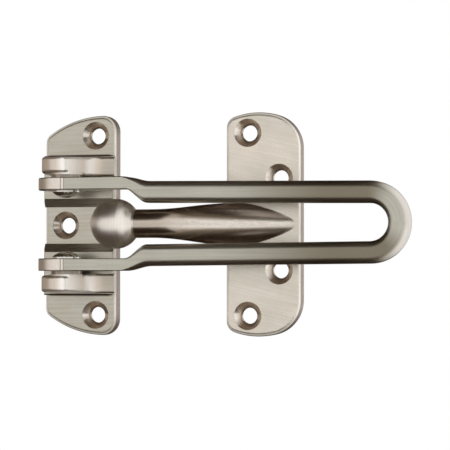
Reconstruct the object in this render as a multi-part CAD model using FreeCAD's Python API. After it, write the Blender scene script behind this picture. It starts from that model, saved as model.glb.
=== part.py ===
import FreeCAD, Part
import math
import os

# Swing bar door guard, latched: a hinge plate with two ears, a looped bar that swings on
# two rivets, and a keeper plate whose ball-ended arm stands in the bar's opening.
# Millimetres. X runs along the bar, Z is up, and Y points into the door.
# The back faces lie on y = 0, so a height h above the door is y = -h.

# Plates
PLATE_WIDTH = 26.4
PLATE_HEIGHT = 76.2
PLATE_THICKNESS = 4.0
PLATE_SPACING = 65.9
PLATE_EDGE_ROUND = 1.4
HINGE_CROWN_RADIUS = 35.0
HINGE_CROWN_OFFSET = 8.4
HINGE_TALL_CORNER = 5.5
HINGE_SHORT_CORNER = 3.5
KEEPER_CROWN_RADIUS = 26.0
KEEPER_CROWN_OFFSET = 2.2
KEEPER_TALL_CORNER = 4.0
KEEPER_SHORT_CORNER = 12.0

# Screw holes, countersunk for flat-head wood screws
SCREW_HOLE_DIAMETER = 5.5
SCREW_HEAD_DIAMETER = 9.7
SCREW_HEAD_ANGLE = 82.0
HOLE_COLUMN_OFFSET = 5.5
END_HOLE_SPACING = 62.2
KEEPER_INNER_SPACING = 31.2

# Bosses beside the sunk channel of the hinge plate
CHANNEL_FLOOR_WIDTH = 12.7
CHANNEL_WALL_RUN = 2.95
BOSS_RISE = 1.4
BOSS_SET_BACK = 0.6
BOSS_MARGIN = 0.6
BOSS_EDGE_ROUND = 0.6

# Ears and their rivets
EAR_RADIUS = 8.5
EAR_THICKNESS = 6.6
EAR_OUTER_LEAN = 2.5
EAR_INNER_LEAN = 3.0
EAR_NOSE_RADIUS = 2.6
EAR_RAMP_ANGLE = 80.0
EAR_HEEL_RADIUS = 6.0
EAR_TOE_RISE = 0.5
EAR_TOE_SET_BACK = 0.25
EAR_EDGE_ROUND = 0.9
WASHER_SEAT_MARGIN = 0.5
PIN_OFFSET = -0.9
PIN_DIAMETER = 4.4
PIN_HEAD_DIAMETER = 9.8
PIN_HEAD_HEIGHT = 2.5
PIN_HEAD_RIM = 0.5
PIN_TAIL_RECESS = 0.25
WASHER_DIAMETER = 10.6
WASHER_THICKNESS = 1.15

# Fits
KNUCKLE_CLEARANCE = 0.3
RUNNING_CLEARANCE = 0.05
SEAT_CLEARANCE = 0.02

# Swing bar
KNUCKLE_RADIUS = 9.6
LEG_GAP = 23.3
LEG_THICKNESS = 4.2
LEG_EDGE_ROUND = 0.35
LEG_TAPER_END = 19.5
LEG_TAPER_BLEND = 10.0
JOG_START = 23.0
JOG_LENGTH = 9.6
ROD_WIDTH = 7.3
ROD_DEPTH = 7.4
ROD_ROUND = 2.45
ROD_TAPER_ANGLE = 0.57
SLOT_END_WIDTH = 12.4
BAR_REACH = 121.1

# Keeper arm and ball
BALL_DIAMETER = 16.9
BALL_REACH = 46.9
NECK_DIAMETER = 9.6
NECK_LENGTH = 13.0
ARM_BEND = 15.0
ARM_FLARE_DIAMETER = 14.8
ARM_TIP_DIAMETER = 13.0
ARM_TIP_RISE = 5.4
ARM_TIP_SINK = 0.1

# Heights above the door
BOSS_TOP = PLATE_THICKNESS + BOSS_RISE
PIN_HEIGHT = BOSS_TOP + KNUCKLE_CLEARANCE + KNUCKLE_RADIUS
BAR_FRONT = PIN_HEIGHT + KNUCKLE_RADIUS
BAR_BACK = BAR_FRONT - ROD_DEPTH
BAR_MIDDLE = BAR_FRONT - ROD_DEPTH / 2
PLATE_CORE = PLATE_THICKNESS / 2
EAR_CREST = PIN_HEIGHT + EAR_RADIUS

# Half-widths from the middle plane
LEG_INNER = LEG_GAP / 2
LEG_OUTER = LEG_INNER + LEG_THICKNESS
ROD_INNER = SLOT_END_WIDTH / 2
ROD_OUTER = ROD_INNER + ROD_WIDTH
EAR_INNER = LEG_OUTER + RUNNING_CLEARANCE + WASHER_THICKNESS
EAR_OUTER = EAR_INNER + EAR_THICKNESS
EAR_MIDDLE = EAR_INNER + EAR_THICKNESS / 2
BOSS_OUTER = EAR_OUTER + BOSS_MARGIN
PIN_RADIUS = PIN_DIAMETER / 2
WASHER_RADIUS = WASHER_DIAMETER / 2

# Places along the bar
JOG_FROM = PIN_OFFSET + JOG_START
JOG_TO = JOG_FROM + JOG_LENGTH
LOOP_CENTRE = PIN_OFFSET + BAR_REACH - ROD_OUTER
BALL_CENTRE = PLATE_SPACING - BALL_REACH

# The upper rod's run, which closes in a little on its way to the loop
ROD_MIDDLE = (ROD_INNER + ROD_OUTER) / 2
ROD_TAPER = math.radians(ROD_TAPER_ANGLE)
ROD_LENGTH = (LOOP_CENTRE + ROD_MIDDLE * math.sin(ROD_TAPER) - JOG_TO) / math.cos(ROD_TAPER)
ROD_START = ROD_MIDDLE * math.cos(ROD_TAPER) + ROD_LENGTH * math.sin(ROD_TAPER)
BOSS_RIGHT = PLATE_WIDTH / 2 - BOSS_SET_BACK
EAR_RIGHT = PLATE_WIDTH / 2 - EAR_TOE_SET_BACK

ALONG_BAR = FreeCAD.Vector(1, 0, 0)
UP_THE_DOOR = FreeCAD.Vector(0, 0, 1)
INTO_DOOR = FreeCAD.Vector(0, 1, 0)
OUT_OF_DOOR = FreeCAD.Vector(0, -1, 0)
MIDDLE = FreeCAD.Vector(0, 0, 0)


def at(x, h, z=0.0):
    """A point x along the bar, h above the door and z up from the middle plane."""
    return FreeCAD.Vector(x, -h, z)


def line(a, b):
    return Part.makeLine(a, b)


def arc(a, through, b):
    return Part.Arc(a, through, b).toShape()


def face_of(edges):
    return Part.Face(Part.Wire(edges))


def mirrored(shape):
    """The same shape on the other side of the middle plane."""
    return shape.mirror(MIDDLE, UP_THE_DOOR)


def near(a, b):
    return abs(a - b) < 1e-4


def edges_where(shape, test):
    """The edges whose middle point, given as x, h and z, passes the test."""
    found = []
    for edge in shape.Edges:
        middle = edge.valueAt((edge.FirstParameter + edge.LastParameter) / 2)
        if test(middle.x, -middle.y, middle.z):
            found.append(edge)
    return found


def ease(share):
    """A share of the way from 0 to 1 that starts and ends level."""
    share = min(max(share, 0.0), 1.0)
    return share * share * (3 - 2 * share)


def between(start, end, share):
    return start + (end - start) * share


def plate(tall_side, crown_radius, crown_offset, tall_corner, short_corner):
    """A plate with crowned ends. tall_side is +1 or -1, the side with the longer edge."""
    crown_x = tall_side * crown_offset
    crown_z = PLATE_HEIGHT / 2 - crown_radius
    tall = tall_side * PLATE_WIDTH / 2
    short = -tall

    def crown(x):
        return crown_z + math.sqrt(crown_radius ** 2 - (x - crown_x) ** 2)

    top = at(crown_x, 0, PLATE_HEIGHT / 2)
    bottom = at(crown_x, 0, -PLATE_HEIGHT / 2)
    outline = [
        line(at(tall, 0, -crown(tall)), at(tall, 0, crown(tall))),
        arc(at(tall, 0, crown(tall)), top, at(short, 0, crown(short))),
        line(at(short, 0, crown(short)), at(short, 0, -crown(short))),
        arc(at(short, 0, -crown(short)), bottom, at(tall, 0, -crown(tall))),
    ]
    body = face_of(outline).extrude(OUT_OF_DOOR * PLATE_THICKNESS)
    tall_corners = edges_where(
        body, lambda x, h, z: near(x, tall) and near(h, PLATE_CORE))
    body = body.makeFillet(tall_corner, tall_corners)
    short_corners = edges_where(
        body, lambda x, h, z: near(x, short) and near(h, PLATE_CORE))
    body = body.makeFillet(short_corner, short_corners)
    front = edges_where(body, lambda x, h, z: near(h, PLATE_THICKNESS))
    return body.makeFillet(PLATE_EDGE_ROUND, front)


def screw_hole(x, z):
    """The cutter for one countersunk hole through a plate."""
    hole_radius = SCREW_HOLE_DIAMETER / 2
    head_radius = SCREW_HEAD_DIAMETER / 2
    depth = (head_radius - hole_radius) / math.tan(math.radians(SCREW_HEAD_ANGLE / 2))
    through = Part.makeCylinder(hole_radius, PLATE_THICKNESS, at(x, 0, z), OUT_OF_DOOR)
    sink_foot = at(x, PLATE_THICKNESS - depth, z)
    sink = Part.makeCone(hole_radius, head_radius, depth, sink_foot, OUT_OF_DOOR)
    return through.fuse(sink)


def boss():
    """The raised pad under the upper leg and ear, with the sloped wall of the channel."""
    left = -PLATE_WIDTH / 2
    floor_half = CHANNEL_FLOOR_WIDTH / 2
    top_half = floor_half + CHANNEL_WALL_RUN
    section = Part.makePolygon([
        at(left, PLATE_CORE, floor_half),
        at(left, PLATE_THICKNESS, floor_half),
        at(left, BOSS_TOP, top_half),
        at(left, BOSS_TOP, BOSS_OUTER),
        at(left, PLATE_CORE, BOSS_OUTER),
        at(left, PLATE_CORE, floor_half),
    ])
    body = Part.Face(section).extrude(ALONG_BAR * (BOSS_RIGHT - left))
    rim = edges_where(
        body, lambda x, h, z: near(h, BOSS_TOP) and not near(z, top_half))
    return body.makeFillet(BOSS_EDGE_ROUND, rim)


def ear_profile():
    """The ear seen from above: round at its back, a tight nose, and a ramp to a flat toe."""
    back = PIN_OFFSET - EAR_RADIUS
    toe = BOSS_TOP + EAR_TOE_RISE
    ramp = math.radians(EAR_RAMP_ANGLE)
    eighth = math.sqrt(0.5)

    nose_centre = EAR_CREST - EAR_NOSE_RADIUS
    nose_end_x = PIN_OFFSET + EAR_NOSE_RADIUS * math.sin(ramp)
    nose_end_h = nose_centre + EAR_NOSE_RADIUS * math.cos(ramp)
    nose_mid_x = PIN_OFFSET + EAR_NOSE_RADIUS * math.sin(ramp / 2)
    nose_mid_h = nose_centre + EAR_NOSE_RADIUS * math.cos(ramp / 2)

    heel_centre = toe + EAR_HEEL_RADIUS
    heel_start_h = heel_centre - EAR_HEEL_RADIUS * math.cos(ramp)
    heel_start_x = nose_end_x + (nose_end_h - heel_start_h) / math.tan(ramp)
    heel_end_x = heel_start_x + EAR_HEEL_RADIUS * math.sin(ramp)
    heel_mid_x = heel_end_x - EAR_HEEL_RADIUS * math.sin(ramp / 2)
    heel_mid_h = heel_centre - EAR_HEEL_RADIUS * math.cos(ramp / 2)

    round_mid = at(PIN_OFFSET - EAR_RADIUS * eighth, PIN_HEIGHT + EAR_RADIUS * eighth)
    return [
        line(at(back, PLATE_CORE), at(back, PIN_HEIGHT)),
        arc(at(back, PIN_HEIGHT), round_mid, at(PIN_OFFSET, EAR_CREST)),
        arc(at(PIN_OFFSET, EAR_CREST), at(nose_mid_x, nose_mid_h), at(nose_end_x, nose_end_h)),
        line(at(nose_end_x, nose_end_h), at(heel_start_x, heel_start_h)),
        arc(at(heel_start_x, heel_start_h), at(heel_mid_x, heel_mid_h), at(heel_end_x, toe)),
        line(at(heel_end_x, toe), at(EAR_RIGHT, toe)),
        line(at(EAR_RIGHT, toe), at(EAR_RIGHT, PLATE_CORE)),
        line(at(EAR_RIGHT, PLATE_CORE), at(back, PLATE_CORE)),
    ]


def lean_cutter(h, z, angle):
    """A block that trims an ear on the far side of a leaning plane, hinged at height h."""
    block = Part.makeBox(PLATE_WIDTH * 2, EAR_CREST * 2, EAR_THICKNESS)
    block.translate(at(-PLATE_WIDTH, EAR_CREST + h, z))
    block.rotate(at(0, h, z), ALONG_BAR, angle)
    return block


def ear():
    """The upper ear. Its faces lean together towards the crest, round a flat washer seat."""
    washer_foot = PIN_HEIGHT - WASHER_RADIUS
    face = face_of(ear_profile())
    face.translate(UP_THE_DOOR * LEG_OUTER)
    whole = face.extrude(UP_THE_DOOR * (EAR_OUTER - LEG_OUTER))
    body = whole.cut(lean_cutter(BOSS_TOP, EAR_OUTER, EAR_OUTER_LEAN))
    inner_cut = lean_cutter(washer_foot, EAR_INNER, 0)
    inner_cut.translate(UP_THE_DOOR * -EAR_THICKNESS)
    inner_cut.rotate(at(0, washer_foot, EAR_INNER), ALONG_BAR, -EAR_INNER_LEAN)
    body = body.cut(inner_cut)

    rims = edges_where(
        body, lambda x, h, z: abs(z - EAR_MIDDLE) > EAR_THICKNESS / 4
        and h > PLATE_CORE + EAR_TOE_RISE and not near(x, EAR_RIGHT))
    body = body.makeFillet(EAR_EDGE_ROUND, rims)
    seat = Part.makeCylinder(WASHER_RADIUS + WASHER_SEAT_MARGIN, EAR_THICKNESS / 2,
                             at(PIN_OFFSET, PIN_HEIGHT, EAR_INNER), UP_THE_DOOR)
    return body.fuse(seat.common(whole))


def hinge_plate():
    """The hinge plate with its bosses, ears, rivet holes and screw holes, in one casting."""
    body = plate(1, HINGE_CROWN_RADIUS, HINGE_CROWN_OFFSET,
                 HINGE_TALL_CORNER, HINGE_SHORT_CORNER)
    for piece in (boss(), ear()):
        body = body.fuse(piece).fuse(mirrored(piece))
    rivet_hole = Part.makeCylinder(PIN_RADIUS + SEAT_CLEARANCE, EAR_THICKNESS,
                                   at(PIN_OFFSET, PIN_HEIGHT, EAR_INNER), UP_THE_DOOR)
    body = body.cut(rivet_hole).cut(mirrored(rivet_hole))
    end_hole = screw_hole(HOLE_COLUMN_OFFSET, END_HOLE_SPACING / 2)
    middle_hole = screw_hole(-HOLE_COLUMN_OFFSET, 0)
    body = body.cut(end_hole).cut(mirrored(end_hole)).cut(middle_hole)
    return body.removeSplitter()


def rounded_section(x, inner, outer, back, front, corner):
    """A rectangle with round corners across the bar at x, as a wire."""
    eighth = corner * (1 - math.sqrt(0.5))
    return Part.Wire([
        line(at(x, back, inner + corner), at(x, back, outer - corner)),
        arc(at(x, back, outer - corner), at(x, back + eighth, outer - eighth),
            at(x, back + corner, outer)),
        line(at(x, back + corner, outer), at(x, front - corner, outer)),
        arc(at(x, front - corner, outer), at(x, front - eighth, outer - eighth),
            at(x, front, outer - corner)),
        line(at(x, front, outer - corner), at(x, front, inner + corner)),
        arc(at(x, front, inner + corner), at(x, front - eighth, inner + eighth),
            at(x, front - corner, inner)),
        line(at(x, front - corner, inner), at(x, back + corner, inner)),
        arc(at(x, back + corner, inner), at(x, back + eighth, inner + eighth),
            at(x, back, inner + corner)),
    ])


def leg():
    """The upper leg: a flat strap, tapering deeper towards its round knuckle."""
    taper_end = PIN_OFFSET + LEG_TAPER_END
    drop = BAR_BACK - PIN_HEIGHT
    reach = math.hypot(LEG_TAPER_END, drop)
    turn = math.atan2(drop, LEG_TAPER_END) - math.acos(KNUCKLE_RADIUS / reach)
    tangent = at(PIN_OFFSET + KNUCKLE_RADIUS * math.cos(turn),
                 PIN_HEIGHT + KNUCKLE_RADIUS * math.sin(turn))
    profile = [
        line(at(JOG_FROM, BAR_FRONT), at(PIN_OFFSET, BAR_FRONT)),
        arc(at(PIN_OFFSET, BAR_FRONT), at(PIN_OFFSET - KNUCKLE_RADIUS, PIN_HEIGHT), tangent),
        line(tangent, at(taper_end, BAR_BACK)),
        line(at(taper_end, BAR_BACK), at(JOG_FROM, BAR_BACK)),
        line(at(JOG_FROM, BAR_BACK), at(JOG_FROM, BAR_FRONT)),
    ]
    face = face_of(profile)
    face.translate(UP_THE_DOOR * LEG_INNER)
    body = face.extrude(UP_THE_DOOR * LEG_THICKNESS)
    taper_corner = edges_where(
        body, lambda x, h, z: near(x, taper_end) and near(h, BAR_BACK))
    body = body.makeFillet(LEG_TAPER_BLEND, taper_corner)
    rims = edges_where(
        body, lambda x, h, z: (near(z, LEG_INNER) or near(z, LEG_OUTER))
        and not near(x, JOG_FROM))
    return body.makeFillet(LEG_EDGE_ROUND, rims)


def rod_end():
    """The upper rod's section where the rod runs into the loop, square to the rod."""
    section = rounded_section(LOOP_CENTRE, ROD_INNER, ROD_OUTER, BAR_BACK, BAR_FRONT, ROD_ROUND)
    section.rotate(at(LOOP_CENTRE, 0), INTO_DOOR, ROD_TAPER_ANGLE)
    return section


def jog():
    """The bend between strap and rod, where the section turns from flat to round-edged."""
    shares = (0, 0.08, 0.22, 0.38, 0.54, 0.7, 0.84, 0.94, 1)
    inner_bend_from = 0.12
    inner_bend_to = 0.9
    sections = []
    for share in shares:
        inner_share = ease((share - inner_bend_from) / (inner_bend_to - inner_bend_from))
        x = between(JOG_FROM, JOG_TO, share)
        inner = between(LEG_INNER, ROD_START - ROD_WIDTH / 2, inner_share)
        outer = between(LEG_OUTER, ROD_START + ROD_WIDTH / 2, ease(share))
        corner = between(LEG_EDGE_ROUND, ROD_ROUND, ease(share))
        section = rounded_section(x, inner, outer, BAR_BACK, BAR_FRONT, corner)
        section.rotate(at(x, 0, (inner + outer) / 2), INTO_DOOR, ROD_TAPER_ANGLE * ease(share))
        sections.append(section)
    return Part.makeLoft(sections, True)


def swing_bar():
    """The looped bar: two legs, two jogs, two rods and the half-round end, in one piece."""
    towards_leg = FreeCAD.Vector(-math.cos(ROD_TAPER), 0, math.sin(ROD_TAPER))
    rod = Part.Face(rod_end()).extrude(towards_leg * ROD_LENGTH)
    loop_turn = 180 - 2 * ROD_TAPER_ANGLE
    loop = Part.Face(rod_end()).revolve(at(LOOP_CENTRE, 0), INTO_DOOR, loop_turn)
    pin_hole = Part.makeCylinder(PIN_RADIUS + RUNNING_CLEARANCE, LEG_THICKNESS,
                                 at(PIN_OFFSET, PIN_HEIGHT, LEG_INNER), UP_THE_DOOR)
    side = leg().cut(pin_hole).fuse([jog(), rod])
    return side.fuse([loop, mirrored(side)]).removeSplitter()


def pivot_pin():
    """The upper rivet: a domed head inside the leg, and a plain tail let into the ear."""
    seat = LEG_INNER - RUNNING_CLEARANCE
    lean = (PIN_HEIGHT - BOSS_TOP) * math.tan(math.radians(EAR_OUTER_LEAN))
    tail = EAR_OUTER - lean - PIN_TAIL_RECESS
    head_radius = PIN_HEAD_DIAMETER / 2
    dome = PIN_HEAD_HEIGHT - PIN_HEAD_RIM
    dome_radius = (head_radius ** 2 + dome ** 2) / (2 * dome)
    top = seat - PIN_HEAD_HEIGHT
    half_turn = math.asin(head_radius / dome_radius) / 2
    dome_mid_x = PIN_OFFSET + dome_radius * math.sin(half_turn)
    dome_mid_z = top + dome_radius * (1 - math.cos(half_turn))

    def on_axis(radius, z):
        return at(PIN_OFFSET + radius, PIN_HEIGHT, z)

    profile = [
        line(on_axis(0, tail), on_axis(PIN_RADIUS, tail)),
        line(on_axis(PIN_RADIUS, tail), on_axis(PIN_RADIUS, seat)),
        line(on_axis(PIN_RADIUS, seat), on_axis(head_radius, seat)),
        line(on_axis(head_radius, seat), on_axis(head_radius, seat - PIN_HEAD_RIM)),
        arc(on_axis(head_radius, seat - PIN_HEAD_RIM),
            at(dome_mid_x, PIN_HEIGHT, dome_mid_z), on_axis(0, top)),
        line(on_axis(0, top), on_axis(0, tail)),
    ]
    return face_of(profile).revolve(on_axis(0, 0), UP_THE_DOOR, 360)


def washer():
    """The upper washer, which holds the leg off the ear."""
    foot = at(PIN_OFFSET, PIN_HEIGHT, EAR_INNER - WASHER_THICKNESS)
    disc = Part.makeCylinder(WASHER_RADIUS, WASHER_THICKNESS, foot, UP_THE_DOOR)
    hole = Part.makeCylinder(PIN_RADIUS + SEAT_CLEARANCE, WASHER_THICKNESS, foot, UP_THE_DOOR)
    return disc.cut(hole)


def ball_and_neck():
    """The ball and the level neck behind it, turned about the neck's own axis."""
    ball_radius = BALL_DIAMETER / 2
    neck_radius = NECK_DIAMETER / 2
    crease = math.sqrt(ball_radius ** 2 - neck_radius ** 2)

    def on_axis(x, radius):
        return at(BALL_CENTRE + x, BAR_MIDDLE + radius)

    profile = [
        arc(on_axis(-ball_radius, 0), on_axis(0, ball_radius), on_axis(crease, neck_radius)),
        line(on_axis(crease, neck_radius), on_axis(NECK_LENGTH, neck_radius)),
        line(on_axis(NECK_LENGTH, neck_radius), on_axis(NECK_LENGTH, 0)),
        line(on_axis(NECK_LENGTH, 0), on_axis(-ball_radius, 0)),
    ]
    return face_of(profile).revolve(on_axis(0, 0), ALONG_BAR, 360)


def arm_sections():
    """Round sections along the keeper's arm, from the level neck down onto the plate."""
    neck_radius = NECK_DIAMETER / 2
    flare_radius = ARM_FLARE_DIAMETER / 2
    tip_radius = ARM_TIP_DIAMETER / 2
    ridge_start = BALL_CENTRE + NECK_LENGTH
    ridge_bend = ridge_start + ARM_BEND
    ridge_end = PLATE_SPACING + PLATE_WIDTH / 2 - PLATE_EDGE_ROUND
    neck_top = BAR_MIDDLE + neck_radius
    low_bend = PLATE_THICKNESS + ARM_TIP_RISE
    tip_top = PLATE_THICKNESS - ARM_TIP_SINK
    ridge = Part.BezierCurve()
    ridge.setPoles([at(ridge_start, neck_top), at(ridge_bend, neck_top),
                    at(ridge_bend, low_bend), at(ridge_end, tip_top)])
    shares = (0, 0.05, 0.15, 0.28, 0.42, 0.56, 0.7, 0.85, 1)
    flare_share = 0.75

    sections = []
    for share in shares:
        if share < flare_share:
            radius = between(neck_radius, flare_radius, ease(share / flare_share))
        else:
            fall = (share - flare_share) / (1 - flare_share)
            radius = between(flare_radius, tip_radius, ease(fall))
        centre = ridge.value(share) + INTO_DOOR * radius
        sections.append(Part.Wire(Part.Circle(centre, ALONG_BAR, radius).toShape()))
    return sections


def keeper():
    """The keeper plate with its arm and ball, in one casting."""
    body = plate(-1, KEEPER_CROWN_RADIUS, KEEPER_CROWN_OFFSET,
                 KEEPER_TALL_CORNER, KEEPER_SHORT_CORNER)
    body.translate(ALONG_BAR * PLATE_SPACING)
    arm = Part.makeLoft(arm_sections(), True)
    in_front = Part.makeBox(PLATE_SPACING * 2, BAR_FRONT * 2, PLATE_HEIGHT)
    in_front.translate(at(0, BAR_FRONT * 2, -PLATE_HEIGHT / 2))
    body = body.fuse([arm.common(in_front), ball_and_neck()])
    end_hole = screw_hole(PLATE_SPACING - HOLE_COLUMN_OFFSET, END_HOLE_SPACING / 2)
    inner_hole = screw_hole(PLATE_SPACING + HOLE_COLUMN_OFFSET, KEEPER_INNER_SPACING / 2)
    for hole in (end_hole, inner_hole):
        body = body.cut(hole).cut(mirrored(hole))
    return body.removeSplitter()


UPPER_PIN = pivot_pin()
UPPER_WASHER = washer()
NODES = {
    "hinge_plate": hinge_plate(),
    "swing_bar": swing_bar(),
    "pivot_pin_upper": UPPER_PIN,
    "pivot_pin_lower": mirrored(UPPER_PIN),
    "washer_upper": UPPER_WASHER,
    "washer_lower": mirrored(UPPER_WASHER),
    "keeper": keeper(),
}

os.makedirs("parts", exist_ok=True)
for name, shape in NODES.items():
    shape.exportStep(f"parts/{name}.step")
    print(name, "valid" if shape.isValid() else "NOT VALID", "solids", len(shape.Solids),
          "volume", round(shape.Volume, 1))
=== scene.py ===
import math

import bpy
import bmesh
from mathutils import Matrix, Vector

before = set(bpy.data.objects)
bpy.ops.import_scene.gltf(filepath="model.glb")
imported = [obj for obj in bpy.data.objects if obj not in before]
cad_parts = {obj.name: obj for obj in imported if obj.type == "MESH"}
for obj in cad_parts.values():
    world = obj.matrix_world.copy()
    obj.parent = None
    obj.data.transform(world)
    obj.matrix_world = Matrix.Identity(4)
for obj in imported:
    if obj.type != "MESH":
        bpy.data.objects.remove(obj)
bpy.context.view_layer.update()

scene = bpy.context.scene
scene.view_settings.view_transform = "Standard"

# Places on the guard that its finishes follow, in millimetres
LOOP_CENTRE = 106.7
LOOP_RADIUS = 9.85
PIN_X = -0.9
PIN_HEIGHT = 15.3
PLATE_FRONT = 4.0
BOSS_TOP = 5.4
BAR_FRONT = 24.9
CREASE_X = 1.1
EAR_FOOT_Z = 24.2
BALL_END = 27.2
HINGE_HOLES = ((5.5, 31.1), (5.5, -31.1), (-5.5, 0.0))
KEEPER_HOLES = ((60.4, 31.1), (60.4, -31.1), (71.4, 15.6), (71.4, -15.6))
MM_PER_METRE = 1000.0

# The sockets of a Mix node: first input, second input and output, by what it mixes
MIX_SOCKETS = {"FLOAT": (2, 3, 0), "RGBA": (6, 7, 2)}

# Stretches of a noise's range that become a full change of tone
NOISE_MIDDLE = (0.35, 0.65)
NOISE_WIDE = (0.3, 0.7)


# Wiring a finish
class Finish:
    """One metal finish: its nodes, and short ways to add and join them.

    mm is a place on the piece in millimetres, x, y and z are its parts, and height is how far
    the place stands out from the door.
    """

    def __init__(self, name):
        self.material = bpy.data.materials.new(name)
        self.material.use_nodes = True
        self.tree = self.material.node_tree
        self.shader = self.tree.nodes["Principled BSDF"]
        self.shader.inputs["Metallic"].default_value = 1.0
        place = self.node("ShaderNodeTexCoord")
        self.mm = self.stretched(place.outputs["Object"], (MM_PER_METRE,) * 3)
        self.x, self.y, self.z = self.split(self.mm)
        self.height = self.times(self.y, -1.0)

    def node(self, kind, **settings):
        """A new node with its settings."""
        made = self.tree.nodes.new(kind)
        for key, value in settings.items():
            setattr(made, key, value)
        return made

    def join(self, source, target):
        """A link between two sockets."""
        self.tree.links.new(source, target)

    def feed(self, socket, value):
        """A socket's value: another socket, a number, or a colour without its alpha."""
        if isinstance(value, bpy.types.NodeSocket):
            self.join(value, socket)
        elif isinstance(value, tuple):
            socket.default_value = (*value, 1.0)
        else:
            socket.default_value = value

    def give(self, socket_name, value):
        """The shader's own socket, fed by a pattern."""
        self.join(value, self.shader.inputs[socket_name])

    def math(self, operation, first, second=None, clamp=False):
        """One step of arithmetic."""
        made = self.node("ShaderNodeMath", operation=operation, use_clamp=clamp)
        self.feed(made.inputs[0], first)
        if second is not None:
            self.feed(made.inputs[1], second)
        return made.outputs[0]

    def times(self, first, *others):
        """All the values multiplied together."""
        for other in others:
            first = self.math("MULTIPLY", first, other)
        return first

    def distance(self, first, second):
        """How far off a place is, from its distances along two square directions."""
        squares = self.math("ADD", self.times(first, first), self.times(second, second))
        return self.math("SQRT", squares)

    def split(self, vector):
        """The three parts of a place."""
        made = self.node("ShaderNodeSeparateXYZ")
        self.join(vector, made.inputs[0])
        return made.outputs["X"], made.outputs["Y"], made.outputs["Z"]

    def pack(self, x, y, z):
        """A place from its three parts."""
        made = self.node("ShaderNodeCombineXYZ")
        for slot, value in enumerate((x, y, z)):
            self.feed(made.inputs[slot], value)
        return made.outputs[0]

    def turned(self, vector, degrees):
        """The same place, turned in the plane of the plates."""
        made = self.node("ShaderNodeMapping")
        made.inputs["Rotation"].default_value = (0.0, math.radians(degrees), 0.0)
        self.join(vector, made.inputs["Vector"])
        return made.outputs["Vector"]

    def stretched(self, vector, scale, shift=(0.0, 0.0, 0.0)):
        """The same place, scaled along each axis and then shifted."""
        made = self.node("ShaderNodeMapping")
        made.inputs["Scale"].default_value = scale
        made.inputs["Location"].default_value = shift
        self.join(vector, made.inputs["Vector"])
        return made.outputs["Vector"]

    def noise(self, vector, scale=1.0, detail=3.0, rough=0.55):
        """A noise pattern from 0 to 1."""
        made = self.node("ShaderNodeTexNoise")
        made.inputs["Scale"].default_value = scale
        made.inputs["Detail"].default_value = detail
        made.inputs["Roughness"].default_value = rough
        self.join(vector, made.inputs["Vector"])
        return made.outputs["Fac"]

    def span(self, value, band, ends=(0.0, 1.0), interpolation="LINEAR"):
        """A value that goes from one end to the other as it crosses the band."""
        made = self.node("ShaderNodeMapRange", interpolation_type=interpolation)
        made.inputs["From Min"].default_value = band[0]
        made.inputs["From Max"].default_value = band[1]
        made.inputs["To Min"].default_value = ends[0]
        made.inputs["To Max"].default_value = ends[1]
        self.join(value, made.inputs["Value"])
        return made.outputs["Result"]

    def rises(self, value, band, most=1.0):
        """A smooth rise from 0 across the band."""
        return self.span(value, band, (0.0, most), "SMOOTHSTEP")

    def falls(self, value, band, most=1.0):
        """A smooth fall to 0 across the band."""
        return self.span(value, band, (most, 0.0), "SMOOTHSTEP")

    def mix(self, kind, share, first, second):
        """A value that goes from first to second as its share goes from 0 to 1."""
        made = self.node("ShaderNodeMix", data_type=kind)
        first_slot, second_slot, out_slot = MIX_SOCKETS[kind]
        self.feed(made.inputs[0], share)
        self.feed(made.inputs[first_slot], first)
        self.feed(made.inputs[second_slot], second)
        return made.outputs[out_slot]

    def tint(self, share, first, second):
        """A mix of two colours."""
        return self.mix("RGBA", share, first, second)

    def between(self, share, first, second):
        """A mix of two numbers."""
        return self.mix("FLOAT", share, first, second)

    def raise_surface(self, height, strength, depth_mm):
        """Relief that follows a pattern."""
        made = self.node("ShaderNodeBump")
        made.inputs["Strength"].default_value = strength
        made.inputs["Distance"].default_value = depth_mm / MM_PER_METRE
        self.join(height, made.inputs["Height"])
        self.give("Normal", made.outputs["Normal"])


# Brush lines, cast metal and lathe work, which several pieces share
FINE_LINES = (0.04, 3.2, 3.2)
LONG_LINES = (0.02, 1.4, 1.4)
LONG_LINES_SHIFT = (3.1, 0.0, 7.7)
LONG_LINES_DETAIL = 4.0
LINE_ROUGH = 0.65
FINE_SHARE = 0.6
LONG_SHARE = 0.4
LINE_MIDDLE = 0.5
GRAIN_SCALE = 1.6
CLOUD_DETAIL = 2.0
LATHE_ROUGH = 0.6
LINE_DEPTH = 0.05
CAST_WARM = (0.86, 0.76, 0.655)
CAST_PALE = (0.95, 0.87, 0.775)
CAST_SHADE = (0.50, 0.42, 0.345)


def brush_lines(f, vector):
    """Fine scratches along x, with a few longer and deeper ones."""
    fine = f.noise(f.stretched(vector, FINE_LINES), rough=LINE_ROUGH)
    long_place = f.stretched(vector, LONG_LINES, LONG_LINES_SHIFT)
    long_ones = f.noise(long_place, detail=LONG_LINES_DETAIL, rough=LINE_ROUGH)
    return f.math("ADD", f.times(fine, FINE_SHARE), f.times(long_ones, LONG_SHARE))


def line_tones(f, lines, body, pale, deep, reach, share):
    """Paler tops and deeper bottoms of the brush lines."""
    tops = f.span(lines, (LINE_MIDDLE, LINE_MIDDLE + reach), (0.0, share))
    bottoms = f.span(lines, (LINE_MIDDLE - reach, LINE_MIDDLE), (share, 0.0))
    return f.tint(bottoms, f.tint(tops, body, pale), deep)


def cast_grain(f):
    """The fine grain of metal left as cast."""
    return f.noise(f.mm, GRAIN_SCALE)


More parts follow.
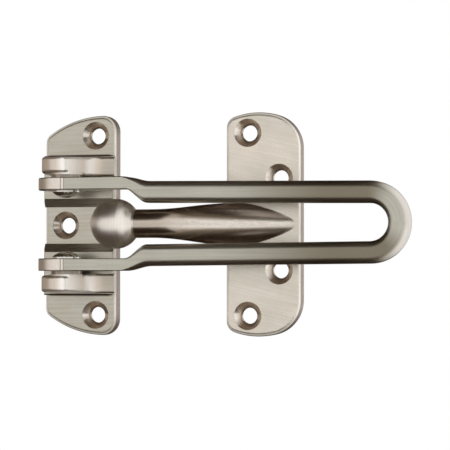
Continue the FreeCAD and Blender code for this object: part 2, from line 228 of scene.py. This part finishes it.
# Countersunk screw holes: bands are millimetres from the hole's middle or the plate's back,
# and for the cone's sides the sine or cosine of the way round it
HOLE_RIM = (4.65, 4.9)
HOLE_THROAT = (2.9, 3.3)
HOLE_OFF_BACK = (0.05, 0.3)
CONE_LEFT = (-0.94, -0.45)
CONE_LOW = (-0.95, -0.25)
CONE_HIGH = (0.25, 0.95)
LOW_PAINTED_SHADE = 0.92
HIGH_PAINTED_SHADE = 0.5
THROAT_PAINTED_SHADE = 0.8
CONE_BROWN = (0.70, 0.60, 0.49)
CONE_PAINTED_HIGHLIGHT = (0.90, 0.84, 0.765)
PAINTED_SHADE_BROWN = (0.30, 0.235, 0.18)


def countersinks(f, holes):
    """1 inside the screw holes, and the colour of their cones: a painted highlight on the left,
    brown round the rest, and painted shade, darkest low, high and deep in the throat."""
    inside = bright = painted_shade_share = deep = 0.0
    for hole_x, hole_z in holes:
        dx = f.math("SUBTRACT", f.x, hole_x)
        dz = f.math("SUBTRACT", f.z, hole_z)
        away = f.distance(dx, dz)
        near = f.falls(away, HOLE_RIM)
        left = f.falls(f.math("DIVIDE", dx, away), CONE_LEFT)
        tall = f.math("DIVIDE", dz, away)
        under = f.falls(tall, CONE_LOW, LOW_PAINTED_SHADE)
        over = f.rises(tall, CONE_HIGH, HIGH_PAINTED_SHADE)
        inside = f.math("ADD", inside, near)
        bright = f.math("ADD", bright, f.times(near, left))
        painted_shade_share = f.math("ADD", painted_shade_share, f.times(near, f.math("ADD", under, over)))
        deep = f.math("ADD", deep, f.falls(away, HOLE_THROAT))
    # A painted highlight on the cones' left side, and painted shade on their top, bottom and
    # throat.
    cone = f.tint(bright, CONE_BROWN, CONE_PAINTED_HIGHLIGHT)
    cone = f.tint(painted_shade_share, cone, PAINTED_SHADE_BROWN)
    cone = f.tint(f.times(deep, THROAT_PAINTED_SHADE), cone, PAINTED_SHADE_BROWN)
    return f.times(inside, f.span(f.height, HOLE_OFF_BACK)), cone


# The two plates: bands are heights above the door, or how far up and down the crowned ends are
ROUND_EDGE = (PLATE_FRONT - 0.24, PLATE_FRONT - 0.03)
SIDE_FACE = (PLATE_FRONT - 0.8, PLATE_FRONT - 0.35)
PLATE_OFF_BACK = (0.05, 0.5)
CROWNED_END = (30.0, 35.5)
EDGE_SHARE = 0.85
EDGE_PAINTED_SHEEN = (0.95, 0.90, 0.82)
EDGE_END_PAINTED_SHADE = (0.56, 0.515, 0.44)
SIDE_PAINTED_SHADE = (0.305, 0.25, 0.21)
SIDE_PAINTED_SHADE_PALE = (0.37, 0.305, 0.262)
SIDE_END_PAINTED_SHADE = (0.15, 0.12, 0.095)
MOTTLE_STRETCH = (0.4, 1.0, 0.6)
MOTTLE_SCALE = 1.1
MOTTLE_DETAIL = 6.0
MOTTLE_ROUGH = 0.7
MOTTLE_BAND = (0.38, 0.62)
PLATE_CLOUD_SCALE = 0.09
PLATE_LINE_REACH = 0.12
PLATE_ROUGHNESS = (0.24, 0.36)
EDGE_ROUGHNESS = 0.5
CONE_ROUGHNESS = 0.22
EDGE_WEAR = 0.7
CONE_WEAR = 0.08


def edge_bands(f, body):
    """Plate colour with a painted sheen on its paler rounded edge, mottled painted shade on the
    side and back, and darker painted shade at the ends, and 1 from the rounded edge backwards."""
    round_edge = f.falls(f.height, ROUND_EDGE)
    side_face = f.falls(f.height, SIDE_FACE)
    off_back = f.rises(f.height, PLATE_OFF_BACK)
    at_end = f.times(f.rises(f.math("ABSOLUTE", f.z), CROWNED_END), off_back)
    # A painted sheen on the rounded edge, painted shade on the side and back, and darker painted
    # shade at the top and bottom ends.
    body = f.tint(f.times(round_edge, EDGE_SHARE), body, f.tint(at_end, EDGE_PAINTED_SHEEN, EDGE_END_PAINTED_SHADE))
    mottle = f.noise(f.stretched(f.mm, MOTTLE_STRETCH), MOTTLE_SCALE, MOTTLE_DETAIL, MOTTLE_ROUGH)
    dull = f.tint(f.span(mottle, MOTTLE_BAND), SIDE_PAINTED_SHADE, SIDE_PAINTED_SHADE_PALE)
    return f.tint(side_face, body, f.tint(at_end, dull, SIDE_END_PAINTED_SHADE)), round_edge


def brushed_plate(f, lines, colours, line_share, holes):
    """A plate's colour, roughness and share of bare metal, with its edges and screw holes."""
    satin, warm, pale, deep = colours
    in_hole, cone = countersinks(f, holes)
    cloud = f.noise(f.mm, PLATE_CLOUD_SCALE, CLOUD_DETAIL)
    body = f.tint(f.span(cloud, NOISE_MIDDLE), satin, warm)
    body = line_tones(f, lines, body, pale, deep, PLATE_LINE_REACH, line_share)
    body, round_edge = edge_bands(f, body)
    rough = f.between(round_edge, f.span(lines, NOISE_WIDE, PLATE_ROUGHNESS), EDGE_ROUGHNESS)
    edge_only = f.math("SUBTRACT", round_edge, in_hole, clamp=True)
    worn = f.math("MAXIMUM", f.times(edge_only, EDGE_WEAR), f.times(in_hole, CONE_WEAR))
    return (
        f.tint(in_hole, body, cone),
        f.between(in_hole, rough, CONE_ROUGHNESS),
        f.math("SUBTRACT", 1.0, worn),
    )


# The hinge plate: bands are places along x, except for heights and the foot line's width
HINGE_SATIN = (0.55, 0.52, 0.44)
HINGE_WARM = (0.53, 0.48, 0.395)
HINGE_PALE = (0.66, 0.63, 0.555)
HINGE_DEEP = (0.43, 0.40, 0.33)
HINGE_COLOURS = (HINGE_SATIN, HINGE_WARM, HINGE_PALE, HINGE_DEEP)
HINGE_BRUSH_DEGREES = 1.5
HINGE_LINE_SHARE = 0.55
HINGE_RELIEF = 0.2
EAR_START = (BOSS_TOP + 0.2, BOSS_TOP + 0.9)
FOOT_LINE = (0.1, 0.65)
FOOT_LEFT = (-12.7, -11.0)
FOOT_RIGHT = (10.2, 11.8)
FOOT_HEIGHT = (PLATE_FRONT - 0.4, PLATE_FRONT - 0.1)
CREST_LEFT = (-2.2, 0.8)
CREST_RIGHT = (4.4, 7.2)
TOE_BAND = (6.5, 11.5)
TOE_SHARE = 0.6
NOSE_BAND = (-9.6, -6.0)
EAR_GRAIN_SHARE = 0.4
EAR_ROUGHNESS = (0.28, 0.38)
EAR_METAL = 0.85
EAR_WARM = (0.73, 0.63, 0.53)
EAR_CREST_PAINTED_HIGHLIGHT = (0.98, 0.93, 0.87)
FOOT_PAINTED_SHADE = (0.11, 0.08, 0.058)


def ear_foot_painted_shade(f):
    """1 along the line of painted shade where the ears stand on the plate."""
    from_foot = f.math("ABSOLUTE", f.math("SUBTRACT", f.math("ABSOLUTE", f.z), EAR_FOOT_Z))
    return f.times(
        f.falls(from_foot, FOOT_LINE),
        f.falls(f.x, FOOT_RIGHT),
        f.rises(f.x, FOOT_LEFT),
        f.span(f.height, FOOT_HEIGHT),
    )


def ear_colour(f, grain):
    """Cast ears: a painted highlight at the crest, and painted shade at the toe and the nose."""
    crest = f.times(f.rises(f.x, CREST_LEFT), f.falls(f.x, CREST_RIGHT))
    cast = f.tint(f.span(grain, NOISE_MIDDLE, (0.0, EAR_GRAIN_SHARE)), EAR_WARM, CAST_WARM)
    cast = f.tint(f.rises(f.x, TOE_BAND, TOE_SHARE), cast, CAST_SHADE)
    cast = f.tint(f.falls(f.x, NOSE_BAND), cast, CAST_SHADE)
    return f.tint(crest, cast, EAR_CREST_PAINTED_HIGHLIGHT)


def satin_hinge(name):
    """The hinge plate: flats brushed almost level, and ears left as cast."""
    f = Finish(name)
    lines = brush_lines(f, f.turned(f.mm, HINGE_BRUSH_DEGREES))
    grain = cast_grain(f)
    on_ear = f.rises(f.height, EAR_START)
    body, rough, metal = brushed_plate(f, lines, HINGE_COLOURS, HINGE_LINE_SHARE, HINGE_HOLES)
    # Painted shade along the foot of the ears.
    body = f.tint(ear_foot_painted_shade(f), body, FOOT_PAINTED_SHADE)
    f.give("Base Color", f.tint(on_ear, body, ear_colour(f, grain)))
    f.give("Roughness", f.between(on_ear, rough, f.span(grain, NOISE_WIDE, EAR_ROUGHNESS)))
    f.give("Metallic", f.between(on_ear, metal, EAR_METAL))
    f.raise_surface(f.between(on_ear, lines, grain), HINGE_RELIEF, LINE_DEPTH)
    return f.material


# The swing bar: bands are millimetres along it and round its loop, or as their names say
BAR_SATIN = (0.54, 0.52, 0.445)
BAR_WARM = (0.47, 0.435, 0.36)
BAR_PALE = (0.66, 0.63, 0.555)
BAR_DEEP = (0.39, 0.365, 0.30)
BAR_SHADE = (0.22, 0.19, 0.135)
LOOP_EDGE_PAINTED_HIGHLIGHT = (0.80, 0.745, 0.69)
LOOP_SIDE_PAINTED_LIGHT = (0.58, 0.535, 0.495)
CREASE_PAINTED_HIGHLIGHT = (0.95, 0.88, 0.79)
BAR_CLOUD_SCALE = 0.07
BAR_CLOUD_SHARE = 0.5
BAR_LINE_REACH = 0.1
BAR_LINE_SHARE = 0.35
BAR_RELIEF = 0.18
ROD_LINES_APART = 300.0
ROD_DARKENS = (52.0, 96.0)
ROD_SHARE = 0.93
LOOP_LIGHTENS = (106.0, 115.0)
LOWER_ROD_SHIFT = 6.0
LOOP_WALL_START = (100.0, 108.0)
LOOP_INNER_ACROSS = (6.5, 8.0)
LOOP_INNER_SHARE = 0.7
LOOP_EDGE_START = (108.0, 116.0)
LOOP_OUTER_ACROSS = (11.6, 12.9)
LOOP_OUTER_SHARE = 0.8
LOOP_SIDE_HEIGHT = (BAR_FRONT - 4.2, BAR_FRONT - 1.8)
BAR_FACE_HEIGHT = (BAR_FRONT - 0.9, BAR_FRONT - 0.4)
KNUCKLE_END = (CREASE_X - 1.0, CREASE_X - 0.4)
KNUCKLE_BAND = (-7.0, -4.4)
KNUCKLE_SHARE = 0.6
GROOVE_WIDTH = (0.5, 0.9)
GROOVE_SHARE = 0.55
RIDGE_WIDTH = (0.15, 0.45)
RIDGE_SHARE = 0.9
STRAP_END = (20.0, 36.0)
STRAP_ROUGHNESS = (0.2, 0.32)
ROD_ROUGHNESS = (0.31, 0.39)
KNUCKLE_ROUGHNESS = (0.34, 0.44)


def bar_route(f):
    """How far along the bar a place is, its loop included, and how far from the bar's middle."""
    past = f.math("MAXIMUM", f.math("SUBTRACT", f.x, LOOP_CENTRE), 0.0)
    bend = f.times(f.math("ARCTAN2", past, f.math("ABSOLUTE", f.z)), LOOP_RADIUS)
    along = f.math("ADD", f.math("MINIMUM", f.x, LOOP_CENTRE), bend)
    return along, f.distance(past, f.z)


def rod_tones(f, body, along, across):
    """Rods in painted shade towards the loop, painted shade on its inner wall, and a painted
    highlight on its outer edge.
    """
    below = f.times(f.math("LESS_THAN", f.z, 0.0), LOWER_ROD_SHIFT)
    light_end = f.falls(f.math("SUBTRACT", along, below), LOOP_LIGHTENS)
    shaded = f.times(f.rises(along, ROD_DARKENS), light_end)
    body = f.tint(f.times(shaded, ROD_SHARE), body, BAR_SHADE)
    inner_wall = f.times(f.falls(across, LOOP_INNER_ACROSS), f.span(along, LOOP_WALL_START))
    body = f.tint(f.times(inner_wall, LOOP_INNER_SHARE), body, BAR_SHADE)
    outer_edge = f.times(f.rises(along, LOOP_EDGE_START), f.rises(across, LOOP_OUTER_ACROSS))
    loop_edge_painted_light = f.tint(f.falls(f.height, LOOP_SIDE_HEIGHT), LOOP_EDGE_PAINTED_HIGHLIGHT, LOOP_SIDE_PAINTED_LIGHT)
    return f.tint(f.times(outer_edge, LOOP_OUTER_SHARE), body, loop_edge_painted_light)


def knuckle_tones(f, body, grain, on_knuckle):
    """Cast knuckles in painted shade at their left ends, and a painted highlight ridge in a groove
    of painted shade at the crease that ends them.
    """
    cast = f.tint(f.span(grain, NOISE_MIDDLE), CAST_WARM, CAST_PALE)
    cast = f.tint(f.falls(f.x, KNUCKLE_BAND, KNUCKLE_SHARE), cast, CAST_SHADE)
    body = f.tint(on_knuckle, body, cast)
    on_front = f.span(f.height, BAR_FACE_HEIGHT)
    from_crease = f.math("ABSOLUTE", f.math("SUBTRACT", f.x, CREASE_X))
    groove = f.times(f.falls(from_crease, GROOVE_WIDTH), on_front, GROOVE_SHARE)
    ridge = f.times(f.falls(from_crease, RIDGE_WIDTH), on_front, RIDGE_SHARE)
    return f.tint(ridge, f.tint(groove, body, PAINTED_SHADE_BROWN), CREASE_PAINTED_HIGHLIGHT)


def satin_bar(name):
    """The bar: brushed along its legs and round its loop, with knuckles left as cast."""
    f = Finish(name)
    along, across = bar_route(f)
    side = f.times(f.math("SIGN", f.z), ROD_LINES_APART)
    lines = brush_lines(f, f.pack(f.math("ADD", along, side), f.y, across))
    grain = cast_grain(f)
    cloud = f.noise(f.mm, BAR_CLOUD_SCALE, CLOUD_DETAIL)
    on_knuckle = f.falls(f.x, KNUCKLE_END)
    body = f.tint(f.span(cloud, NOISE_MIDDLE, (0.0, BAR_CLOUD_SHARE)), BAR_SATIN, BAR_WARM)
    body = line_tones(f, lines, body, BAR_PALE, BAR_DEEP, BAR_LINE_REACH, BAR_LINE_SHARE)
    body = rod_tones(f, body, along, across)
    f.give("Base Color", knuckle_tones(f, body, grain, on_knuckle))
    strap = f.span(lines, NOISE_WIDE, STRAP_ROUGHNESS)
    rubbed = f.between(f.rises(f.x, STRAP_END), strap, f.span(lines, NOISE_WIDE, ROD_ROUGHNESS))
    f.give("Roughness", f.between(on_knuckle, rubbed, f.span(grain, NOISE_WIDE, KNUCKLE_ROUGHNESS)))
    f.raise_surface(f.between(on_knuckle, lines, grain), BAR_RELIEF, LINE_DEPTH)
    return f.material


# The keeper: bands are places along x, except for the arm's height and its ridge's width
# The keeper's satin is a paler copy of the finish the hinge plate and bar share: painted light.
KEEPER_SATIN = (0.80, 0.725, 0.625)
KEEPER_WARM = (0.68, 0.63, 0.54)
KEEPER_PALE = (0.92, 0.865, 0.785)
KEEPER_DEEP = (0.63, 0.56, 0.47)
KEEPER_COLOURS = (KEEPER_SATIN, KEEPER_WARM, KEEPER_PALE, KEEPER_DEEP)
KEEPER_BRUSH_DEGREES = -13.0
KEEPER_LINE_SHARE = 0.45
KEEPER_RELIEF = 0.12
ARM_START = (PLATE_FRONT + 0.05, PLATE_FRONT + 0.4)
ARM_LINE_BAND = (0.4, 0.6)
ARM_SHADED = (34.0, 52.0)
ARM_SHADE_SHARE = 0.8
ARM_RIDGE = (0.9, 2.6)
ARM_SIDE_SHARE = 0.8
ARM_ROUGHNESS = 0.26
ARM_SATIN = (0.70, 0.62, 0.54)
ARM_PALE = (0.86, 0.80, 0.73)
ARM_SHADE = (0.50, 0.425, 0.345)
ARM_SIDE_PAINTED_SHADE = (0.27, 0.20, 0.15)
BALL_SIDE = (BALL_END - 0.8, BALL_END - 0.2)
BALL_STRETCH = (2.2, 0.04, 0.04)
BALL_BAND = (0.36, 0.64)
BALL_ROUGHNESS = (0.32, 0.42)
BALL_SATIN = (0.87, 0.79, 0.70)
BALL_PALE = (0.97, 0.92, 0.86)


def arm_colour(f, arm_lines):
    """The arm: pale along its ridge, in painted shade beside it and towards the ball."""
    arm = f.tint(f.span(arm_lines, ARM_LINE_BAND), ARM_SATIN, ARM_PALE)
    arm = f.tint(f.falls(f.x, ARM_SHADED, ARM_SHADE_SHARE), arm, ARM_SHADE)
    off_ridge = f.rises(f.math("ABSOLUTE", f.z), ARM_RIDGE, ARM_SIDE_SHARE)
    return f.tint(off_ridge, arm, ARM_SIDE_PAINTED_SHADE)


def satin_keeper(name):
    """The keeper: plate brushed a little off level, arm rubbed lengthways, ball turned."""
    f = Finish(name)
    plate_lines = brush_lines(f, f.turned(f.mm, KEEPER_BRUSH_DEGREES))
    arm_lines = brush_lines(f, f.mm)
    rings = f.noise(f.stretched(f.mm, BALL_STRETCH), rough=LATHE_ROUGH)
    on_arm = f.rises(f.height, ARM_START)
    on_ball = f.falls(f.x, BALL_SIDE)
    body, rough, metal = brushed_plate(
        f, plate_lines, KEEPER_COLOURS, KEEPER_LINE_SHARE, KEEPER_HOLES
    )
    ball = f.tint(f.span(rings, BALL_BAND), BALL_SATIN, BALL_PALE)
    f.give("Base Color", f.tint(on_ball, f.tint(on_arm, body, arm_colour(f, arm_lines)), ball))
    rough = f.between(on_arm, rough, ARM_ROUGHNESS)
    f.give("Roughness", f.between(on_ball, rough, f.span(rings, NOISE_WIDE, BALL_ROUGHNESS)))
    f.give("Metallic", metal)
    lines = f.between(on_ball, f.between(on_arm, plate_lines, arm_lines), rings)
    f.raise_surface(lines, KEEPER_RELIEF, LINE_DEPTH)
    return f.material


# The rivets and washers
RIVET_BRIGHT = (0.76, 0.73, 0.68)
RIVET_DULL = (0.66, 0.62, 0.56)
RIVET_RINGS = 6.0
RIVET_SLICE = 0.0
RIVET_SMEAR = 0.6
RIVET_ROUGHNESS = (0.07, 0.16)
WASHER_PAINTED_SHADE_PALE = (0.36, 0.32, 0.27)
WASHER_PAINTED_SHADE_DEEP = (0.24, 0.20, 0.16)
WASHER_RINGS = 5.0
WASHER_SLICE = 2.0
WASHER_SMEAR = 0.8
WASHER_ROUGHNESS = (0.16, 0.28)
SMEAR_BAND = (0.35, 0.7)
RING_RELIEF = 0.06
RING_DEPTH = 0.03


def turned_metal(name, bright, dull, rings_per_mm, ring_slice, smear_scale, roughness):
    """Metal turned on a lathe: fine rings round the pin's axis, and a soft smear of tone."""
    f = Finish(name)
    away = f.distance(f.math("SUBTRACT", f.x, PIN_X), f.math("ADD", f.y, PIN_HEIGHT))
    ring_place = f.pack(f.times(away, rings_per_mm), f.times(f.z, rings_per_mm), ring_slice)
    rings = f.noise(ring_place, rough=LATHE_ROUGH)
    smear = f.noise(f.mm, smear_scale)
    f.give("Base Color", f.tint(f.span(smear, SMEAR_BAND), bright, dull))
    f.give("Roughness", f.span(rings, NOISE_WIDE, roughness))
    f.raise_surface(rings, RING_RELIEF, RING_DEPTH)
    return f.material


def polished_rivet(name):
    """A rivet, polished bright."""
    return turned_metal(
        name, RIVET_BRIGHT, RIVET_DULL, RIVET_RINGS, RIVET_SLICE, RIVET_SMEAR, RIVET_ROUGHNESS
    )


def washer_in_painted_shade(name):
    """A washer, plated bright but painted dark with the shade between leg and ear."""
    return turned_metal(
        name, WASHER_PAINTED_SHADE_PALE, WASHER_PAINTED_SHADE_DEEP, WASHER_RINGS, WASHER_SLICE, WASHER_SMEAR, WASHER_ROUGHNESS
    )


FINISHES = {
    "hinge_plate": satin_hinge("brushed satin hinge"),
    "swing_bar": satin_bar("brushed satin bar"),
    "keeper": satin_keeper("satin keeper"),
    "pivot_pin_upper": polished_rivet("polished rivet upper"),
    "pivot_pin_lower": polished_rivet("polished rivet lower"),
    "washer_upper": washer_in_painted_shade("bright washer upper"),
    "washer_lower": washer_in_painted_shade("bright washer lower"),
}
for node_name, material in FINISHES.items():
    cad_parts[node_name].data.materials[0] = material


# The stage, in metres: a pale floor, and cards that only the metal's reflections see
FLOOR_SPAN = (-6.0, 6.0)
FLOOR_FRONT = -6.0
FLOOR_BACK = 0.42
FLOOR_Z = -0.13
FLOOR_PALE = (0.86, 0.86, 0.86)
FLOOR_ROUGHNESS = 0.9
CARD_BLACK = (0.0, 0.0, 0.0)
CARD_DARK = (0.048, 0.032, 0.022)
CARD_GREY = (0.42, 0.38, 0.33)
CARD_TOP = 0.26
CARD_UNDER = -0.125
CARD_FOOT = -0.12
CARD_BACK = 3.0
CARD_ACROSS = (-1.6, 0.12)
ABOVE_CARD_FRONT = -0.56
BELOW_CARD_FRONT = -0.23
LEFT_CARD_X = -1.0
LEFT_CARD_FRONT = -0.45
ARM_CARD_X = 0.107
ARM_CARD_BACK = 0.3
ARM_CARD_FRONT = -0.06
ARM_CARD_TOP_FRONT = -0.03
ARM_CARD_GAP = 0.045
ARM_CARD_REACH = 0.12


def matt_finish(name, shade, roughness):
    """A material of one even shade with no gloss."""
    made = bpy.data.materials.new(name)
    made.use_nodes = True
    shader = made.node_tree.nodes["Principled BSDF"]
    shader.inputs["Base Color"].default_value = (*shade, 1.0)
    shader.inputs["Roughness"].default_value = roughness
    shader.inputs["Specular IOR Level"].default_value = 0.0
    return made


def card_finish(name, shade):
    """A card that glows with its own even shade."""
    made = matt_finish(name, CARD_BLACK, 1.0)
    shader = made.node_tree.nodes["Principled BSDF"]
    shader.inputs["Emission Color"].default_value = (*shade, 1.0)
    shader.inputs["Emission Strength"].default_value = 1.0
    return made


def level_corners(x_span, y_span, z):
    """The corners of a level sheet."""
    (left, right), (front, rear) = x_span, y_span
    return (left, front, z), (right, front, z), (right, rear, z), (left, rear, z)


def upright_corners(x, y_span, z_span):
    """The corners of an upright sheet that faces along x."""
    (front, rear), (low, high) = y_span, z_span
    return (x, front, low), (x, rear, low), (x, rear, high), (x, front, high)


def flat_stage(name, corners, material):
    """One flat sheet of the stage."""
    made = bpy.data.meshes.new(name)
    bm = bmesh.new()
    bm.faces.new([bm.verts.new(corner) for corner in corners])
    bm.to_mesh(made)
    bm.free()
    placed = bpy.data.objects.new(name, made)
    scene.collection.objects.link(placed)
    placed.data.materials.append(material)
    return placed


def reflector_card(name, corners, material):
    """A card that shows in reflections and nowhere else."""
    card = flat_stage(name, corners, material)
    card.visible_camera = False
    card.visible_diffuse = False
    card.visible_shadow = False
    card.visible_transmission = False


floor_corners = level_corners(FLOOR_SPAN, (FLOOR_FRONT, FLOOR_BACK), FLOOR_Z)
flat_stage("floor", floor_corners, matt_finish("pale floor", FLOOR_PALE, FLOOR_ROUGHNESS))

dark = card_finish("dark card", CARD_DARK)
grey = card_finish("grey card", CARD_GREY)
arm_span = (ARM_CARD_FRONT, ARM_CARD_BACK)
arm_top_span = (ARM_CARD_TOP_FRONT, ARM_CARD_BACK)
left_span = (LEFT_CARD_FRONT, CARD_BACK)
CARDS = (
    ("card above", level_corners(CARD_ACROSS, (ABOVE_CARD_FRONT, CARD_BACK), CARD_TOP), dark),
    ("card below", level_corners(CARD_ACROSS, (BELOW_CARD_FRONT, CARD_BACK), CARD_UNDER), dark),
    ("arm card above", upright_corners(ARM_CARD_X, arm_span, (ARM_CARD_GAP, ARM_CARD_REACH)), dark),
    ("arm card top", upright_corners(ARM_CARD_X, arm_top_span, (ARM_CARD_REACH, CARD_TOP)), dark),
    ("arm card below", upright_corners(ARM_CARD_X, arm_span, (CARD_FOOT, -ARM_CARD_GAP)), dark),
    ("card left", upright_corners(LEFT_CARD_X, left_span, (CARD_FOOT, CARD_TOP)), grey),
)
for card_name, card_corners, card_material in CARDS:
    reflector_card(card_name, card_corners, card_material)


# The light
WORLD_LIGHT = 0.75
SOFTBOX_AIM = Vector((0.0535, -0.015, 0.0))
SOFTBOX_WATTS = 4.0
SOFTBOXES = (
    ("right softbox", Vector((0.85, -0.45, 0.15)), (0.9, 0.9)),
    ("top softbox", Vector((0.05, -0.2, 0.9)), (0.8, 0.6)),
)


def white_world():
    """A studio that is white to camera, glossy and transmission rays, and lights the guard a
    little less strongly."""
    made = bpy.data.worlds.new("white studio")
    scene.world = made
    made.use_nodes = True
    tree = made.node_tree
    background = tree.nodes["Background"]
    background.inputs["Color"].default_value = (1.0, 1.0, 1.0, 1.0)
    rays = tree.nodes.new("ShaderNodeLightPath").outputs
    seen = rays["Is Camera Ray"]
    for ray_name in ("Is Glossy Ray", "Is Transmission Ray"):
        either = tree.nodes.new("ShaderNodeMath")
        either.operation = "MAXIMUM"
        tree.links.new(seen, either.inputs[0])
        tree.links.new(rays[ray_name], either.inputs[1])
        seen = either.outputs[0]
    level = tree.nodes.new("ShaderNodeMapRange")
    level.inputs["To Min"].default_value = WORLD_LIGHT
    level.inputs["To Max"].default_value = 1.0
    tree.links.new(seen, level.inputs["Value"])
    tree.links.new(level.outputs["Result"], background.inputs["Strength"])


def soft_light(name, place, size):
    """A softbox that lights the guard but doesn't show in its metal."""
    lamp = bpy.data.lights.new(name, "AREA")
    lamp.shape = "RECTANGLE"
    lamp.size, lamp.size_y = size
    lamp.energy = SOFTBOX_WATTS
    holder = bpy.data.objects.new(name, lamp)
    scene.collection.objects.link(holder)
    holder.location = place
    holder.rotation_euler = (SOFTBOX_AIM - place).to_track_quat("-Z", "Y").to_euler()
    holder.visible_glossy = False


white_world()
for softbox_name, softbox_place, softbox_size in SOFTBOXES:
    soft_light(softbox_name, softbox_place, softbox_size)


# The camera, at the photograph's angle, in metres
CAMERA_AZIMUTH = math.radians(16.5)
CAMERA_ELEVATION = math.radians(-1.4)
CAMERA_ROLL = math.radians(0.05)
CAMERA_DISTANCE = 0.690
CAMERA_TARGET = Vector((0.0512, 0.0, -0.0001))
FRAME_PIXELS = 450
PIXELS_PER_MM = 2.918
FOCAL_PIXELS = PIXELS_PER_MM * CAMERA_DISTANCE * MM_PER_METRE


def camera_turn():
    """Which way the camera looks: from its azimuth and elevation, then rolled a little."""
    back = Vector(
        (
            math.sin(CAMERA_AZIMUTH) * math.cos(CAMERA_ELEVATION),
            -math.cos(CAMERA_AZIMUTH) * math.cos(CAMERA_ELEVATION),
            math.sin(CAMERA_ELEVATION),
        )
    )
    level_right = Vector((math.cos(CAMERA_AZIMUTH), math.sin(CAMERA_AZIMUTH), 0.0))
    level_up = back.cross(level_right)
    right = level_right * math.cos(CAMERA_ROLL) + level_up * math.sin(CAMERA_ROLL)
    up = level_up * math.cos(CAMERA_ROLL) - level_right * math.sin(CAMERA_ROLL)
    return Matrix((right, up, back)).transposed()


turn = camera_turn()
camera_place = CAMERA_TARGET + turn.col[2] * CAMERA_DISTANCE
camera = bpy.data.objects.new("camera", bpy.data.cameras.new("camera"))
scene.collection.objects.link(camera)
camera.matrix_world = Matrix.Translation(camera_place) @ turn.to_4x4()
camera.data.sensor_width = 36.0
camera.data.lens = FOCAL_PIXELS / FRAME_PIXELS * camera.data.sensor_width
camera.data.clip_start = 0.01
camera.data.clip_end = 50.0
scene.camera = camera
